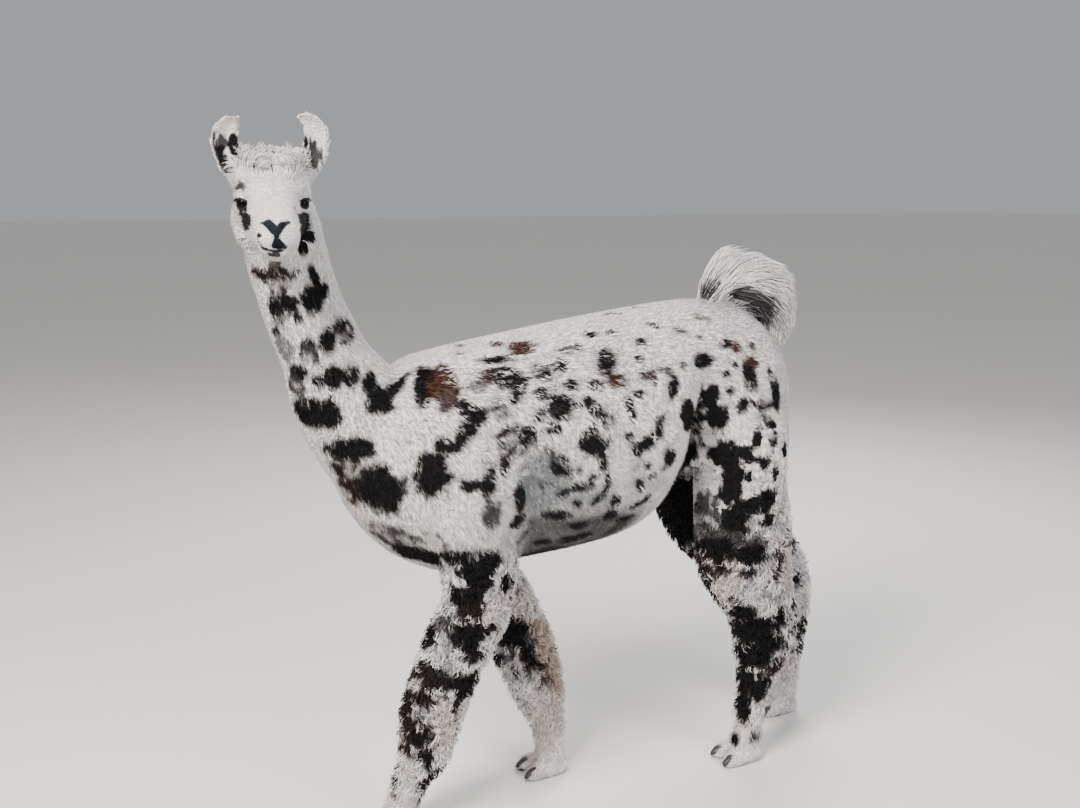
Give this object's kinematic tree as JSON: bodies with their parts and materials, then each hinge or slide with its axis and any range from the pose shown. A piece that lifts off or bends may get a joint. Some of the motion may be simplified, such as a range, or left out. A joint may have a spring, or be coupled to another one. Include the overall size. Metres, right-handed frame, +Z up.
{
  "type": "llama",
  "caption": "Life-size spotted llama with a freshly shorn back, woolly legs and an arched bushy tail, standing in mid stride with its head turned to its left.",
  "frame": {"origin": "on the floor, at the middle of the bounding box seen from above", "axes": "the animal faces -Y, its left side is +X, and +Z is up; the feet stand on z = 0"},
  "size_m": [0.5014, 1.6461, 1.6683],
  "materials": {
    "white_fleece": "matt",
    "spotted_fleece": "matt",
    "dark_eye": "wet gloss",
    "horn": "satin"
  },
  "bodies": {
    "root": {"trunk": "white_fleece", "neck": "white_fleece", "head": "white_fleece", "lower_jaw": "white_fleece", "ear_left": "white_fleece", "ear_right": "white_fleece", "tail": "white_fleece", "fore_foot_left": "white_fleece", "fore_foot_right": "white_fleece", "hind_foot_left": "white_fleece", "hind_foot_right": "white_fleece", "forearm_left": "spotted_fleece", "fore_cannon_left": "spotted_fleece", "thigh_left": "spotted_fleece", "gaskin_left": "spotted_fleece", "hind_cannon_left": "spotted_fleece", "forearm_right": "spotted_fleece", "fore_cannon_right": "spotted_fleece", "thigh_right": "spotted_fleece", "gaskin_right": "spotted_fleece", "hind_cannon_right": "spotted_fleece", "eye_left": "dark_eye", "eye_right": "dark_eye", "fore_left_nail_left": "horn", "fore_left_nail_right": "horn", "fore_right_nail_left": "horn", "fore_right_nail_right": "horn", "hind_left_nail_left": "horn", "hind_left_nail_right": "horn", "hind_right_nail_left": "horn", "hind_right_nail_right": "horn"}
  },
  "joints": []
}
